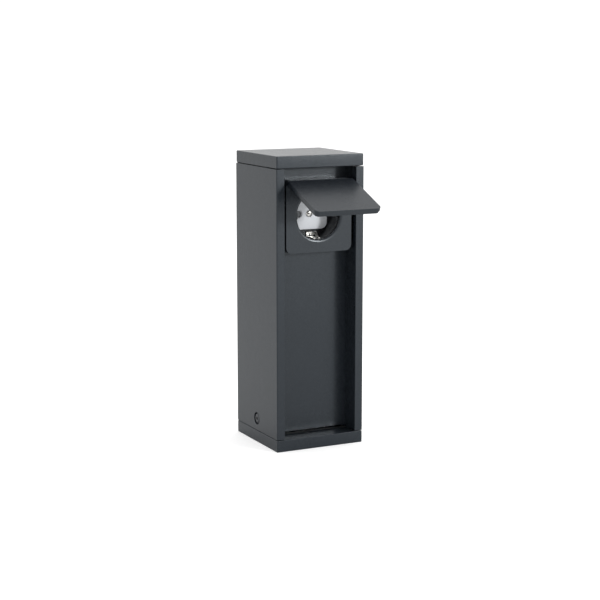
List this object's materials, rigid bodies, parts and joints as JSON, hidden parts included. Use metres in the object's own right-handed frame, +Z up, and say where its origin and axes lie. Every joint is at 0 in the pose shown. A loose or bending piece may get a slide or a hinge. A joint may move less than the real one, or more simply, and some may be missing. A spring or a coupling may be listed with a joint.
{
  "type": "outdoor power pillar",
  "caption": "Square garden power pillar with a recessed front, top cap and base plate, and an earthed two-pin socket under a top-hinged splash flap.",
  "frame": {"origin": "centre of the base plate's underside", "axes": "+Z up, -Y out of the front with the socket, +X to the right seen from the front"},
  "size_m": [0.08, 0.1297, 0.245],
  "materials": {
    "powder_coat": "fine matt powder coat, anthracite",
    "frame_plastic": "fine matt moulded plastic, anthracite",
    "black_plastic": "satin black moulded plastic",
    "grey_plastic": "satin light grey moulded plastic",
    "white_plastic": "satin off-white moulded plastic",
    "rubber": "matt black rubber",
    "zinc_steel": "zinc-plated steel",
    "stainless": "plain stainless steel",
    "black_steel": "blackened steel",
    "nickel_plate": "bright nickel plate",
    "brass": "plain brass",
    "brown_wire": "brown insulation",
    "blue_wire": "blue insulation",
    "earth_wire": "green insulation with yellow"
  },
  "bodies": {
    "pillar": {"base_bracket": "zinc_steel", "base_gasket": "rubber", "base_plate": "powder_coat", "block_screw_left": "zinc_steel", "block_screw_right": "zinc_steel", "body_shell": "powder_coat", "cap_gasket": "rubber", "centre_screw": "nickel_plate", "contact_block": "grey_plastic", "earth_contact_screw": "zinc_steel", "earth_link": "earth_wire", "earth_lower_screw": "zinc_steel", "earth_lug": "nickel_plate", "earth_screw": "brass", "earth_strap": "nickel_plate", "earth_tube": "brass", "earth_upper_screw": "zinc_steel", "earth_wire": "earth_wire", "flap_spring": "stainless", "foot_screw_left": "zinc_steel", "foot_screw_right": "zinc_steel", "frame_gasket": "rubber", "frame_screw_1": "zinc_steel", "frame_screw_2": "zinc_steel", "frame_screw_3": "zinc_steel", "frame_screw_4": "zinc_steel", "front_panel": "powder_coat", "gland_body": "black_plastic", "gland_nut": "black_plastic", "gland_seal": "rubber", "hinge_pin": "stainless", "live_contact": "brass", "live_contact_screw": "zinc_steel", "live_lower_screw": "zinc_steel", "live_tube": "brass", "live_upper_screw": "zinc_steel", "live_wire": "brown_wire", "neutral_contact": "brass", "neutral_contact_screw": "zinc_steel", "neutral_lower_screw": "zinc_steel", "neutral_tube": "brass", "neutral_upper_screw": "zinc_steel", "neutral_wire": "blue_wire", "side_nut_left": "zinc_steel", "side_nut_right": "zinc_steel", "side_screw_left": "black_steel", "side_screw_right": "black_steel", "socket_cup": "black_plastic", "socket_frame": "frame_plastic", "socket_housing": "black_plastic", "terminal_block": "white_plastic", "top_cap": "powder_coat"},
    "flap": {"flap": "frame_plastic", "flap_seal": "rubber"},
    "shutter": {"pin_shutter": "grey_plastic"}
  },
  "joints": [
    {"name": "flap_hinge", "type": "hinge", "parent": "pillar", "child": "flap", "pos_m": [0, -0.0398, 0.2224], "axis": [-1, 0, 0], "range_deg": [-68, 32], "deforming": ["flap_spring"]},
    {"name": "shutter_turn", "type": "hinge", "parent": "pillar", "child": "shutter", "pos_m": [0, -0.0168, 0.195], "axis": [0, -1, 0], "range_deg": [0, 45]}
  ]
}
